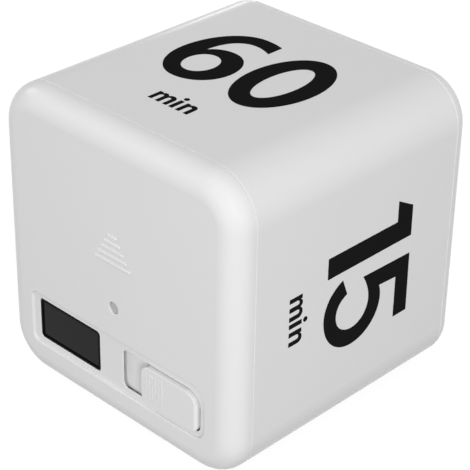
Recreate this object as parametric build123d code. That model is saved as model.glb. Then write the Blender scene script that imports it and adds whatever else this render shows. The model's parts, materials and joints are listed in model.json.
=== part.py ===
"""Cube timer.

A hollow cube of three mouldings, with a time printed on each of four sides. Turning the cube rolls
a steel ball in the tilt sensor, which starts that time. The front face holds a display, a slide
switch and a signal light, and it pulls off over the two AAA cells. A sounder sits in the rear cover.

Millimetres. +Z is up, +X is right seen from the front, and the front face looks to -Y. The origin
is the middle of the bottom face. Places inside are given from the middle of the cube: across along
+X, rise along +Z, and depth from the front face along +Y.
"""

from build123d import *
import math
import os

# Housing
cube_side = 63.0
long_edge_radius = 9.5
front_edge_radius = 4.7
front_seam_setback = 0.25
rear_edge_radius = 3.5
rear_seam_setback = 0.25
seam_bevel = 0.15
face_wall = 2.0
sleeve_wall = 2.0
tongue_length = 3.0
tongue_thickness = 1.2
tongue_clearance = 0.15
ledge_length = 18.0
ledge_reach = 2.0
ledge_thickness = 2.0

# General fits
cover_gap = 0.25
part_fit = 0.1
pin_fit = 0.05
overrun = 1.0
same_place = 0.001

# Sunk panel of the front face, with the display window and the switch slot
panel_bottom_gap = 7.75
panel_side_gap = 2.9
panel_height = 11.3
panel_depth = 0.5
panel_left_corner = 1.3
panel_right_corner = 2.9
panel_rim_round = 0.35
window_side_gap = 1.7
window_width = 17.5
window_height = 9.05
window_corner = 0.8
slot_side_gap = 1.3
slot_drop = 0.2
slot_length = 20.8
slot_height = 8.6
slot_rim = 0.8
slot_bevel = 0.5
slot_left_corner = 1.2
slot_upper_corner = 3.2
slot_lower_corner = 1.5
opening_round = 0.15

# Light hole and thumb ribs
light_drop = 5.6
light_hole_diameter = 2.5
rib_count = 5
rib_top_rise = 9.7
rib_pitch = 1.41
rib_top_length = 2.7
rib_growth = 1.72
rib_thickness = 0.6
rib_height = 0.25
rib_round = 0.22

# Slide switch
knob_stand = 0.4
knob_end_gap = 0.3
knob_side_gap = 0.2
knob_length = 14.6
knob_left_corner = 2.0
knob_upper_corner = 3.0
knob_lower_corner = 1.3
knob_round = 0.15
knob_end_round = 0.65
knob_travel = 4.0
grip_count = 6
grip_pitch = 0.85
grip_start = 1.4
grip_width = 0.4
grip_height = 0.12
grip_margin = 1.3
shield_overlap = 0.6
shield_reach = 1.0
shield_thickness = 1.0
shield_gap = 0.5
shield_margin = 0.3
neck_length = 2.4
neck_width = 2.8
neck_entry = 0.7
switch_case_width = 6.6
switch_case_height = 4.1
switch_case_wall = 0.4
switch_end_room = 2.0
switch_foot_length = 5.0
switch_foot_height = 1.2
switch_base_height = 1.0
terminal_pitch = 3.0
terminal_diameter = 0.8
wiper_thickness = 0.2

# Display
lens_setback = 0.3
collar_wall = 0.4
collar_fit = 0.15
collar_setback = 0.05
bezel_side = 1.1
bezel_top = 1.9
bezel_wall = 0.8
bezel_front = 1.0
display_thickness = 2.2
zebra_height = 3.4
zebra_width = 1.8
zebra_inset = 0.4
bezel_peg_diameter = 1.2
bezel_peg_inset = 1.0

# Circuit board
board_thickness = 1.6
board_side_gap = 3.0
board_bottom_gap = 3.5
board_top_gap = 0.4
board_corner = 2.5
board_screw_inset = 2.3
lower_screw_rise = 2.3
lower_screw_gap = 1.4
pin_stub = 0.9
blob_across = -11.0
blob_drop = 3.9
blob_radius = 2.9
blob_height = 1.2
crystal_across = -18.6
crystal_diameter = 2.1
crystal_length = 6.0
crystal_wire = 0.4
chip_count = 5
chip_first_across = 7.0
chip_pitch = 3.0
chip_drop = 4.2
chip_length = 2.0
chip_width = 1.25
chip_height = 0.6
capacitor_lift = 4.3
capacitor_diameter = 5.0
capacitor_height = 7.0
capacitor_round = 0.5

# Signal light
led_diameter = 3.0
led_height = 5.0
led_rim_diameter = 3.8
led_rim_height = 1.0
led_leg_spacing = 2.54
led_leg_diameter = 0.5
pipe_setback = 0.4
pipe_fit = 0.12
pipe_wall = 0.7
pipe_cap = 0.6
pipe_skirt = 2.6

# Tilt sensor
tilt_lift = 0.8
tilt_side = 10.6
tilt_corner = 0.8
tilt_height = 6.0
tilt_floor = 1.2
tilt_cover_thickness = 1.0
tilt_cavity_diameter = 8.4
tilt_ball_diameter = 3.5
tilt_pin_diameter = 0.7
tilt_pin_wall = 0.85
tilt_pin_spread = 13.0

# Battery tray and cells
cell_length = 44.5
cell_diameter = 10.5
cell_gap = 0.8
cell_side_gap = 0.4
cell_front_gap = 0.7
cell_round = 0.4
nub_diameter = 3.8
nub_height = 1.0
nub_round = 0.3
spring_length = 5.0
spring_wire = 0.6
spring_base_radius = 3.5
spring_tip_radius = 2.1
spring_turns = 2
spring_entry_length = 0.9
spring_entry_share = 0.35
contact_thickness = 0.4
contact_height = 8.5
contact_front_gap = 1.6
tab_width = 3.0
tab_length = 2.5
tray_wall = 1.3
tray_floor = 1.5
tray_corner = 2.0
tray_gap = 0.5
tray_front_gap = 0.4
notch_radius = 6.0
cradle_across = 12.0
cradle_thickness = 1.5
cradle_height = 3.2

# Inner frame, its posts and screws
frame_clearance = 0.3
plate_thickness = 2.0
bay_side_inset = 9.5
bay_margin = 0.6
post_side_inset = 9.5
post_inset = 4.2
post_tip_radius = 2.9
post_draft = 0.6
board_post_diameter = 4.4
frame_screw_diameter = 2.2
frame_screw_length = 9.0
frame_screw_head = 4.0
frame_screw_head_height = 1.4
board_screw_diameter = 1.7
board_screw_length = 4.5
board_screw_head = 3.4
board_screw_head_height = 1.2
cross_width = 0.6
cross_span = 2.0
cross_depth = 0.7

# Sounder
buzzer_diameter = 27.0
buzzer_thickness = 0.3
ceramic_diameter = 20.0
ceramic_thickness = 0.25
buzzer_ring_wall = 1.3
buzzer_ring_height = 2.2
buzzer_air = 1.2
buzzer_seat_width = 1.0

# Leads
power_lead_diameter = 1.2
buzzer_lead_diameter = 1.0
bend_share = 0.45
power_lead_back = 5.0
pad_inset = 12.0
pad_edge_gap = 1.4
buzzer_lead_inset = 6.0
buzzer_lead_lift = 4.0
brass_joint_across = -10.0
ceramic_joint_across = -4.0
buzzer_lead_spread = 6.0

# Places worked out from the sizes above
middle = cube_side / 2
front_seam = front_edge_radius + front_seam_setback
rear_seam = cube_side - rear_edge_radius - rear_seam_setback
tongue_inset = sleeve_wall + tongue_clearance
cap_inset = tongue_inset + tongue_thickness
inner_side = cube_side - 2 * sleeve_wall

panel_width = cube_side - 2 * (front_edge_radius + panel_side_gap)
panel_drop = middle - panel_bottom_gap - panel_height / 2
window_across = window_side_gap + (window_width - panel_width) / 2
window_rise = -panel_drop
slot_rise = -panel_drop - slot_drop
slot_right = panel_width / 2 - slot_side_gap
slot_left = slot_right - slot_length
slot_across = (slot_left + slot_right) / 2
knob_height = slot_height - 2 * knob_side_gap
knob_across = slot_right - knob_end_gap - knob_length / 2
knob_front = -knob_stand
pocket_front = panel_depth + slot_rim
shield_front = pocket_front + shield_gap
shield_back = shield_front + shield_thickness
shield_height = slot_height + 2 * shield_overlap
shield_left = slot_left - shield_reach
shield_right = slot_right + shield_overlap + knob_travel
switch_across = knob_across - knob_travel / 2

bezel_shoulder = face_wall + cover_gap
display_front = bezel_shoulder + bezel_front
display_back = display_front + display_thickness
lens_front = panel_depth + lens_setback
bezel_width = window_width + 2 * bezel_side
bezel_height = window_height + 2 * bezel_top
board_front = display_back + zebra_height
board_back = board_front + board_thickness
switch_top = board_front - switch_case_height

pipe_radius = light_hole_diameter / 2 - pipe_fit
pipe_skirt_radius = led_diameter / 2 + part_fit + pipe_wall
led_top = board_front - led_height

cell_radius = cell_diameter / 2
cell_pitch = cell_diameter + cell_gap
cell_axis_depth = face_wall + cell_front_gap + cell_radius
floor_front = cell_axis_depth + cell_radius + part_fit
frame_back = floor_front + tray_floor
plate_front = frame_back - plate_thickness
tray_front = face_wall + tray_front_gap
tray_length = cell_length + spring_length + 2 * contact_thickness
tray_height = cell_diameter + cell_pitch + 2 * cell_side_gap
tray_bottom = pipe_skirt_radius + tray_gap - light_drop
tray_rise = tray_bottom + tray_wall + tray_height / 2
contact_face = tray_length / 2 - contact_thickness
contact_middle = tray_length / 2 - contact_thickness / 2
contact_front = tray_front + contact_front_gap
upper_rise = tray_rise + cell_pitch / 2
lower_rise = tray_rise - cell_pitch / 2

board_width = inner_side - 2 * board_side_gap
board_top = tray_bottom - board_top_gap
board_bottom = board_bottom_gap - inner_side / 2
board_rise = (board_top + board_bottom) / 2
lower_screw_across = window_across + (bezel_width + board_screw_head) / 2 + lower_screw_gap
board_screw_places = [
    (board_screw_inset - board_width / 2, board_top - board_screw_inset),
    (board_width / 2 - board_screw_inset, board_top - board_screw_inset),
    (lower_screw_across, board_bottom + lower_screw_rise),
]
post_across = inner_side / 2 - post_side_inset
post_rise = inner_side / 2 - post_inset
post_places = [(x * post_across, z * post_rise) for x in (-1, 1) for z in (-1, 1)]

tilt_rise = board_rise + tilt_lift
tilt_back = board_back + tilt_height
tilt_cavity_front = board_back + tilt_floor
tilt_orbit = (tilt_cavity_diameter - tilt_ball_diameter) / 2 - part_fit
tilt_pin_circle = tilt_cavity_diameter / 2 + tilt_pin_wall
bay_width = board_width - 2 * bay_side_inset
bay_height = math.sqrt(2) * tilt_side + 2 * bay_margin
pad_across = board_width / 2 - pad_inset
low_pad_rise = tilt_rise - bay_height / 2 + pad_edge_gap
buzzer_lead_across = buzzer_lead_inset - inner_side / 2

buzzer_back = cube_side - face_wall - buzzer_air
buzzer_front = buzzer_back - buzzer_thickness
ceramic_front = buzzer_front - ceramic_thickness


def at(depth):
    """Y of the plane at this depth behind the front face."""
    return depth - middle


def place(across, rise, depth):
    """A point given from the middle of the cube and the front face."""
    return Vector(across, at(depth), middle + rise)


def prism(outline, front, back, draft=0):
    """An outline seen from the front, made solid between two depths, drawn in towards the front."""
    plane = Plane(origin=(0, at(back), middle), x_dir=(1, 0, 0), z_dir=(0, -1, 0))
    return extrude(plane * outline, amount=back - front, taper=draft)


def rod(radius, start, end, rise, depth):
    """A round bar along X from start to end."""
    plane = Plane(origin=place(min(start, end), rise, depth), x_dir=(0, 1, 0), z_dir=(1, 0, 0))
    return extrude(plane * Circle(radius), amount=abs(end - start))


def turned(points, across, rise):
    """A round solid about a line along Y: its points are (radius, depth)."""
    outline = make_face(Polyline(*[(across + radius, at(depth)) for radius, depth in points], close=True))
    axis = Axis(place(across, rise, 0), (0, 1, 0))
    return revolve(Pos(0, 0, middle + rise) * outline, axis)


def circles(diameter, places):
    """Equal round outlines at several places."""
    return Sketch() + [Pos(*spot) * Circle(diameter / 2) for spot in places]


def uneven_rectangle(width, height, left_corner, upper_corner, lower_corner):
    """A rectangle with one radius on the left, and its own at the upper and the lower right."""
    outline = Rectangle(width, height)
    outline = fillet(outline.vertices().sort_by(Axis.X)[:2], left_corner)
    outline = fillet(outline.vertices().sort_by(Axis.X)[-2:].sort_by(Axis.Y)[-1], upper_corner)
    return fillet(outline.vertices().sort_by(Axis.X)[-2:].sort_by(Axis.Y)[0], lower_corner)


def housing_outline(inset):
    """The cube's rounded square, drawn in by a wall."""
    side = cube_side - 2 * inset
    return RectangleRounded(side, side, long_edge_radius - inset)


def cap_shell(seam, edge_radius):
    """One end of the cube: a rounded shell whose tongue enters the sleeve."""
    block = prism(housing_outline(0), 0, seam)
    block = fillet(block.faces().sort_by(Axis.Y)[0].edges(), edge_radius)
    block = chamfer(block.faces().sort_by(Axis.Y)[-1].edges(), seam_bevel)
    shell = block - prism(housing_outline(cap_inset), face_wall, seam)
    tongue = housing_outline(tongue_inset) - housing_outline(cap_inset)
    return shell + prism(tongue, seam, seam + tongue_length)


def face_at(shape, depth):
    """The largest flat face that looks forward at this depth."""
    flat = shape.faces().filter_by(GeomType.PLANE)
    level = flat.filter_by(lambda face: abs(face.center().Y - at(depth)) < same_place)
    return level.sort_by(SortBy.AREA)[-1]


def front_cover():
    """The pull-off front: sunk panel, display window, switch slot, light hole and thumb ribs."""
    cover = cap_shell(front_seam, front_edge_radius)
    cover -= prism(Pos(0, -light_drop) * Circle(light_hole_diameter / 2), 0, face_wall)
    cover = fillet(face_at(cover, 0).inner_wires()[0].edges(), opening_round)
    corners = (panel_left_corner, panel_right_corner, panel_right_corner)
    panel = uneven_rectangle(panel_width, panel_height, *corners)
    cover -= prism(Pos(0, -panel_drop) * panel, 0, panel_depth)
    rim = face_at(cover, 0).inner_wires().sort_by(SortBy.LENGTH)[-1]
    cover = fillet(rim.edges(), panel_rim_round)
    window = RectangleRounded(window_width, window_height, window_corner)
    corners = (slot_left_corner, slot_upper_corner, slot_lower_corner)
    slot = uneven_rectangle(slot_length, slot_height, *corners)
    cover -= prism(Pos(window_across, window_rise) * window, panel_depth, face_wall)
    cover -= prism(Pos(slot_across, slot_rise) * slot, panel_depth, face_wall)
    rims = face_at(cover, panel_depth).inner_wires()
    cover = fillet([edge for wire in rims for edge in wire.edges()], opening_round)
    cover -= shield_pocket()
    cover = chamfer(face_at(cover, pocket_front).inner_wires()[0].edges(), slot_bevel)
    for number in range(rib_count):
        length = rib_top_length + number * rib_growth
        bar = Pos(0, rib_top_rise - number * rib_pitch) * SlotOverall(length, rib_thickness)
        rib = prism(bar, -rib_height, 0)
        cover += fillet(rib.faces().sort_by(Axis.Y)[0].edges(), rib_round)
    return cover


def shield_pocket():
    """The hollow behind the slot, where the switch's shield slides."""
    left = shield_left - knob_travel - shield_margin
    right = shield_right + shield_margin
    outline = Pos((left + right) / 2, slot_rise) * Rectangle(right - left, shield_height + 2 * shield_margin)
    return prism(outline, pocket_front, face_wall)


def rear_cover():
    """The rear shell, with four long screw posts and the ring that seats the sounder."""
    shell = mirror(cap_shell(cube_side - rear_seam, rear_edge_radius), Plane.XZ)
    inside = cube_side - face_wall
    posts = Sketch() + [Pos(*spot) * Circle(post_base_radius()) for spot in post_places]
    shell += prism(posts, frame_back, inside, post_draft)
    pilots = circles(frame_screw_diameter + 2 * pin_fit, post_places)
    shell -= prism(pilots, frame_back, plate_front + frame_screw_length + overrun)
    ring_inner = buzzer_diameter / 2 + part_fit
    ring = Circle(ring_inner + buzzer_ring_wall) - Circle(ring_inner)
    seat = Circle(ring_inner) - Circle(ring_inner - buzzer_seat_width)
    shell += prism(ring, inside - buzzer_ring_height, inside)
    return shell + prism(seat, buzzer_back, inside)


def post_base_radius():
    """The foot of a screw post, which narrows towards its tip."""
    return post_tip_radius + math.tan(math.radians(post_draft)) * (cube_side - face_wall - frame_back)


def housing_sleeve():
    """The band with the printed times, and the four ledges that the inner frame is drawn against."""
    band = prism(housing_outline(0), front_seam, rear_seam)
    for end in (0, -1):
        band = chamfer(band.faces().sort_by(Axis.Y)[end].edges(), seam_bevel)
    band -= prism(housing_outline(sleeve_wall), front_seam, rear_seam)
    ledge_width = ledge_reach + sleeve_wall / 2
    ledge_rise = inner_side / 2 - ledge_reach + ledge_width / 2
    for turn in range(0, 360, 90):
        ledge = Rot(0, 0, turn) * Pos(0, ledge_rise) * Rectangle(ledge_length, ledge_width)
        band += prism(ledge, frame_back, frame_back + ledge_thickness)
    return band


def tray_outline(grown):
    """The battery tray's rectangle, grown by a wall."""
    outline = RectangleRounded(tray_length + 2 * grown, tray_height + 2 * grown, tray_corner)
    return Pos(0, tray_rise) * outline


def inner_frame():
    """The moulded frame: a plate on the ledges, the battery tray and the posts of the circuit board."""
    side = inner_side - 2 * frame_clearance
    plate = RectangleRounded(side, side, long_edge_radius - sleeve_wall - frame_clearance)
    frame = prism(plate, plate_front, frame_back) + prism(tray_outline(tray_wall), tray_front, frame_back)
    frame -= prism(Pos(0, tray_rise) * Rectangle(tray_length, tray_height), tray_front, floor_front)
    frame -= prism(Pos(0, tilt_rise) * Rectangle(bay_width, bay_height), plate_front, frame_back)
    for side_sign in (-1, 1):
        rib = Pos(side_sign * cradle_across, tray_rise) * Rectangle(cradle_thickness, tray_height)
        cradle = prism(rib, floor_front - cradle_height, floor_front)
        for rise in (upper_rise, lower_rise):
            cradle -= rod(cell_radius + part_fit, -tray_length, tray_length, rise, cell_axis_depth)
        frame += cradle
    frame += prism(circles(board_post_diameter, board_screw_places), board_back, plate_front)
    pilots = circles(board_screw_diameter + 2 * pin_fit, board_screw_places)
    frame -= prism(pilots, board_back, frame_back)
    frame -= prism(circles(frame_screw_diameter + 2 * part_fit, post_places), plate_front, frame_back)
    for rise in (upper_rise, lower_rise):
        slit = Rectangle(contact_thickness + 2 * pin_fit, tab_width + 2 * pin_fit)
        frame -= prism(Pos(contact_middle, rise) * slit, floor_front, frame_back)
    tray_top = tray_rise + tray_height / 2
    notch = Plane(origin=place(0, tray_top, tray_front)) * Circle(notch_radius)
    return frame - extrude(notch, amount=tray_wall)


def screw(spot, seat, diameter, length, head, head_height):
    """A cross-head screw driven from the front, its head on a seat at this depth."""
    spot = Pos(*spot)
    body = prism(spot * Circle(head / 2), seat - head_height, seat)
    body += prism(spot * Circle(diameter / 2), seat, seat + length)
    cross = Rectangle(cross_span, cross_width) + Rectangle(cross_width, cross_span)
    return body - prism(spot * cross, seat - head_height, seat - head_height + cross_depth)


def frame_screws():
    """Four screws through the frame into the rear cover's posts."""
    sizes = (frame_screw_diameter, frame_screw_length, frame_screw_head, frame_screw_head_height)
    return [screw(spot, plate_front, *sizes) for spot in post_places]


def board_screws():
    """Three screws through the circuit board into the frame."""
    sizes = (board_screw_diameter, board_screw_length, board_screw_head, board_screw_head_height)
    return [screw(spot, board_front, *sizes) for spot in board_screw_places]


def bezel_corner_places():
    """The four corner posts that hold the display in its bezel."""
    reach = bezel_width / 2 - bezel_peg_inset
    lift = bezel_height / 2 - bezel_peg_inset
    return [(window_across + side * reach, window_rise + level * lift) for side in (-1, 1) for level in (-1, 1)]


def bezel_peg_places():
    """The pegs that locate the bezel on the circuit board, on two opposite corners."""
    _, upper_left, lower_right, _ = bezel_corner_places()
    return [upper_left, lower_right]


def terminal_places():
    """The slide switch's three terminals."""
    return [(switch_across + step * terminal_pitch, slot_rise) for step in (-1, 0, 1)]


def led_leg_places():
    """The signal light's two legs."""
    return [(step * led_leg_spacing / 2, -light_drop) for step in (-1, 1)]


def tilt_pin_places():
    """Pairs of pins at the four corners of the tilt sensor."""
    angles = [corner + side * tilt_pin_spread for corner in range(0, 360, 90) for side in (-1, 1)]
    return [
        (
            tilt_pin_circle * math.cos(math.radians(angle)),
            tilt_rise + tilt_pin_circle * math.sin(math.radians(angle)),
        )
        for angle in angles
    ]


def main_board():
    """The circuit board, drilled for everything that passes through it."""
    outline = Pos(0, board_rise) * RectangleRounded(board_width, board_top - board_bottom, board_corner)
    board = prism(outline, board_front, board_back)
    drilled = [
        (board_screw_diameter, board_screw_places),
        (bezel_peg_diameter, bezel_peg_places()),
        (terminal_diameter, terminal_places()),
        (led_leg_diameter, led_leg_places()),
        (tilt_pin_diameter, tilt_pin_places()),
    ]
    for diameter, places in drilled:
        board -= prism(circles(diameter + 2 * part_fit, places), board_front, board_back)
    return board


def lcd_bezel():
    """The black frame round the display: its collar lines the window of the front cover."""
    middle_spot = Pos(window_across, window_rise)
    collar = RectangleRounded(window_width - 2 * collar_fit, window_height - 2 * collar_fit, window_corner)
    view = Rectangle(*view_size())
    bezel = prism(middle_spot * collar, panel_depth + collar_setback, bezel_shoulder)
    bezel += prism(middle_spot * Rectangle(bezel_width, bezel_height), bezel_shoulder, board_front)
    bezel -= prism(middle_spot * view, panel_depth + collar_setback, display_front)
    hollow = Rectangle(bezel_width - 2 * bezel_wall, bezel_height - 2 * bezel_wall)
    bezel -= prism(middle_spot * hollow, display_front, board_front)
    corners = circles(2 * bezel_peg_inset, bezel_corner_places())
    bezel += prism(corners, display_back + part_fit, board_front)
    return bezel + prism(circles(bezel_peg_diameter, bezel_peg_places()), board_front, board_back)


def view_size():
    """Width and height of the view inside the collar."""
    border = 2 * (collar_fit + collar_wall)
    return window_width - border, window_height - border


def lcd_window():
    """The dark window in front of the display."""
    width, height = view_size()
    pane = Rectangle(width - 2 * pin_fit, height - 2 * pin_fit)
    return prism(Pos(window_across, window_rise) * pane, lens_front, display_front)


def display_size():
    """Width and height of the display glass in its frame."""
    border = 2 * (bezel_wall + part_fit)
    return bezel_width - border, bezel_height - border


def lcd_cell():
    """The liquid crystal display: a front plate on a slightly larger back plate."""
    width, height = display_size()
    back_plate = Rectangle(width, height)
    front_plate = Pos(0, -zebra_inset / 2) * Rectangle(width, height - zebra_inset)
    spot = Pos(window_across, window_rise)
    half = (display_front + display_back) / 2
    return prism(spot * front_plate, display_front, half) + prism(spot * back_plate, half, display_back)


def zebra_strips():
    """Two rubber connectors between the display and the circuit board."""
    width, height = display_size()
    strip = Rectangle(width - 4 * bezel_peg_inset, zebra_width)
    lift = height / 2 - zebra_inset - zebra_width / 2
    places = [Pos(window_across, window_rise + side * lift) for side in (-1, 1)]
    return [prism(spot * strip, display_back, board_front) for spot in places]


def switch_knob():
    """The knob in the slot, with the shield behind the front cover and the socket of the lever."""
    corners = (knob_left_corner, knob_upper_corner, knob_lower_corner)
    cap = uneven_rectangle(knob_length, knob_height, *corners)
    knob = prism(Pos(knob_across, slot_rise) * cap, knob_front, shield_front)
    knob = fillet(knob.faces().sort_by(Axis.Y)[0].edges(), knob_round)
    knob -= knob_end()
    for number in range(grip_count):
        across = knob_across - knob_length / 2 + grip_start + number * grip_pitch
        bar = Pos(across, slot_rise) * SlotOverall(knob_height - 2 * grip_margin, grip_width, 90)
        knob += prism(bar, knob_front - grip_height, knob_front)
    shield_middle = (shield_left + shield_right) / 2
    shield = Rectangle(shield_right - shield_left, shield_height)
    knob += prism(Pos(shield_middle, slot_rise) * shield, shield_front, shield_back)
    socket = Rectangle(neck_length + 2 * part_fit, neck_width + 2 * part_fit)
    return knob - prism(Pos(knob_across, slot_rise) * socket, neck_entry, shield_back)


def knob_end():
    """What is taken off the knob's right end to leave it rounded."""
    corner = place(knob_across + knob_length / 2, slot_rise, knob_front)
    square = Rectangle(knob_end_round, knob_end_round, align=(Align.MAX, Align.MIN))
    sliver = square - Pos(-knob_end_round, knob_end_round) * Circle(knob_end_round)
    plane = Plane(origin=corner, x_dir=(1, 0, 0), z_dir=(0, 0, 1))
    return extrude(plane * sliver, amount=knob_height / 2, both=True)


def switch_lever():
    """The lever that the knob drives: a neck on a wide foot inside the switch."""
    spot = Pos(knob_across, slot_rise)
    foot_front = switch_top + switch_case_wall + part_fit
    foot_width = switch_case_width - 2 * (switch_case_wall + part_fit)
    neck = prism(spot * Rectangle(neck_length, neck_width), neck_entry + part_fit, foot_front)
    foot = Rectangle(switch_foot_length, foot_width)
    return neck + prism(spot * foot, foot_front, foot_front + switch_foot_height)


def switch_case_length():
    """The switch is long enough for the foot, its travel and some room at the ends."""
    return switch_foot_length + knob_travel + switch_end_room + 2 * switch_case_wall


def switch_case():
    """The switch's folded metal case, slotted for the neck of the lever."""
    spot = Pos(switch_across, slot_rise)
    length = switch_case_length()
    case = prism(spot * Rectangle(length, switch_case_width), switch_top, board_front)
    hollow = Rectangle(length - 2 * switch_case_wall, switch_case_width - 2 * switch_case_wall)
    case -= prism(spot * hollow, switch_top + switch_case_wall, board_front)
    way = Rectangle(neck_length + knob_travel + 4 * part_fit, neck_width + 4 * part_fit)
    return case - prism(spot * way, switch_top, switch_top + switch_case_wall)


def switch_base():
    """The insulating plate that closes the switch and holds its terminals."""
    length = switch_case_length() - 2 * (switch_case_wall + pin_fit)
    width = switch_case_width - 2 * (switch_case_wall + pin_fit)
    plate = Pos(switch_across, slot_rise) * Rectangle(length, width)
    holes = circles(terminal_diameter + 2 * pin_fit, terminal_places())
    return prism(plate - holes, board_front - switch_base_height, board_front)


def switch_terminals():
    """Three pins from the switch's contacts through the circuit board."""
    front = board_front - switch_base_height
    return [
        prism(Pos(*spot) * Circle(terminal_diameter / 2), front, board_back + pin_stub)
        for spot in terminal_places()
    ]


def switch_wiper():
    """The bowed contact strip under the lever's foot, which joins two terminals."""
    front = switch_top + switch_case_wall + part_fit + switch_foot_height
    bow = board_front - switch_base_height - part_fit - front
    half = switch_foot_length / 2
    plane = Plane(origin=place(knob_across, slot_rise, front), x_dir=(1, 0, 0), z_dir=(0, 0, 1))
    outer = ThreePointArc((-half, 0), (0, bow), (half, 0))
    inner_half = half - wiper_thickness
    inner = ThreePointArc((inner_half, 0), (0, bow - wiper_thickness), (-inner_half, 0))
    ends = [Line(outer @ 1, inner @ 0), Line(inner @ 1, outer @ 0)]
    strip = make_face([outer, inner] + ends)
    return extrude(plane * strip, amount=neck_width / 2, both=True)


def alarm_led():
    """The signal light: a domed round body on a rim."""
    radius = led_diameter / 2
    body = prism(Pos(0, -light_drop) * Circle(radius), led_top, board_front)
    body = fillet(body.faces().sort_by(Axis.Y)[0].edges(), radius - part_fit)
    rim = Pos(0, -light_drop) * Circle(led_rim_diameter / 2)
    return body + prism(rim, board_front - led_rim_height, board_front)


def led_legs():
    """The signal light's legs, soldered through the board."""
    return [
        prism(Pos(*spot) * Circle(led_leg_diameter / 2), board_front, board_back + pin_stub)
        for spot in led_leg_places()
    ]


def light_pipe():
    """The clear stem in the light hole, on a skirt that slips over the signal light."""
    cap_back = led_top - part_fit
    inside = led_diameter / 2 + part_fit
    points = [
        (0, pipe_setback),
        (pipe_radius, pipe_setback),
        (pipe_radius, cap_back - pipe_cap),
        (pipe_skirt_radius, cap_back - pipe_cap),
        (pipe_skirt_radius, cap_back + pipe_skirt),
        (inside, cap_back + pipe_skirt),
        (inside, cap_back),
        (0, cap_back),
    ]
    return turned(points, 0, -light_drop)


def tilt_outline():
    """The tilt sensor's square, stood on a corner."""
    return Pos(0, tilt_rise) * RectangleRounded(tilt_side, tilt_side, tilt_corner, rotation=45)


def tilt_case():
    """The tilt sensor's case: a round track for the ball, with pins in its corners."""
    case = prism(tilt_outline(), board_back, tilt_back)
    case -= prism(Pos(0, tilt_rise) * Circle(tilt_cavity_diameter / 2), tilt_cavity_front, tilt_back)
    holes = circles(tilt_pin_diameter + 2 * pin_fit, tilt_pin_places())
    return case - prism(holes, board_back, tilt_back)


def tilt_cover():
    """The lid of the tilt sensor."""
    return prism(tilt_outline(), tilt_back, tilt_back + tilt_cover_thickness)


def tilt_ball():
    """The ball, which lies at the low side of its track."""
    depth = (tilt_cavity_front + tilt_back) / 2
    return Pos(place(0, tilt_rise - tilt_orbit, depth)) * Sphere(tilt_ball_diameter / 2)


def tilt_pins():
    """Eight pins, flush with the board: the ball joins the two at the lowest corner."""
    return [
        prism(Pos(*spot) * Circle(tilt_pin_diameter / 2), board_front, tilt_back)
        for spot in tilt_pin_places()
    ]


def controller_blob():
    """The low drop of black resin over the controller chip."""
    reach = (blob_radius**2 + blob_height**2) / (2 * blob_height)
    ball = Pos(place(blob_across, board_top - blob_drop, board_front - blob_height + reach)) * Sphere(reach)
    disc = Pos(blob_across, board_top - blob_drop) * Circle(blob_radius + overrun)
    return ball & prism(disc, board_front - blob_height - overrun, board_front)


def clock_crystal():
    """The crystal's round can, lying on the board, with its two wires."""
    rise = board_top - blob_drop
    radius = crystal_diameter / 2
    end = crystal_across + crystal_length / 2
    depth = board_front - radius
    can = rod(radius, crystal_across - crystal_length / 2, end, rise, depth)
    wires = []
    for side in (-1, 1):
        lift = rise + side * radius / 2
        run = rod(crystal_wire / 2, end, end + crystal_diameter / 2, lift, depth)
        drop = Pos(end + crystal_diameter / 2, lift) * Circle(crystal_wire / 2)
        wires.append(run + prism(drop, depth, board_front))
    return [can] + wires


def chip_components():
    """A row of small resistors and capacitors."""
    chip = Pos(chip_first_across, board_top - chip_drop) * Rectangle(chip_width, chip_length)
    row = [Pos(number * chip_pitch, 0) * chip for number in range(chip_count)]
    return [prism(outline, board_front - chip_height, board_front) for outline in row]


def supply_capacitor():
    """The round capacitor on the back of the board, above the switch's terminals."""
    outline = Pos(switch_across, capacitor_lift + slot_rise) * Circle(capacitor_diameter / 2)
    can = prism(outline, board_back, board_back + capacitor_height)
    return fillet(can.faces().sort_by(Axis.Y)[-1].edges(), capacitor_round)


def cell(side, rise):
    """An AAA cell whose raised end points to this side."""
    tip = side * contact_face
    shoulder = tip - side * nub_height
    tail = tip - side * cell_length
    body = rod(cell_radius, shoulder, tail, rise, cell_axis_depth)
    body = fillet(body.edges().filter_by(GeomType.CIRCLE), cell_round)
    nub = rod(nub_diameter / 2, tip, shoulder, rise, cell_axis_depth)
    nub_edge = nub.edges().filter_by(GeomType.CIRCLE).sort_by(Axis.X)[0 if side < 0 else -1]
    return body + fillet(nub_edge, nub_round)


def biarc(start, start_way, end, end_way):
    """Two arcs that leave start and reach end along the given directions."""
    start_way = start_way.normalized()
    end_way = end_way.normalized()
    span = end - start
    along = span.dot(start_way + end_way)
    turn = 2 * (1 - start_way.dot(end_way))
    reach = (math.sqrt(along * along + turn * span.dot(span)) - along) / turn
    meeting = (start + end + (start_way - end_way) * reach) / 2
    backwards = TangentArc(end, meeting, tangent=-end_way)
    return [TangentArc(start, meeting, tangent=start_way), ThreePointArc(meeting, backwards @ 0.5, end)]


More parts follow.
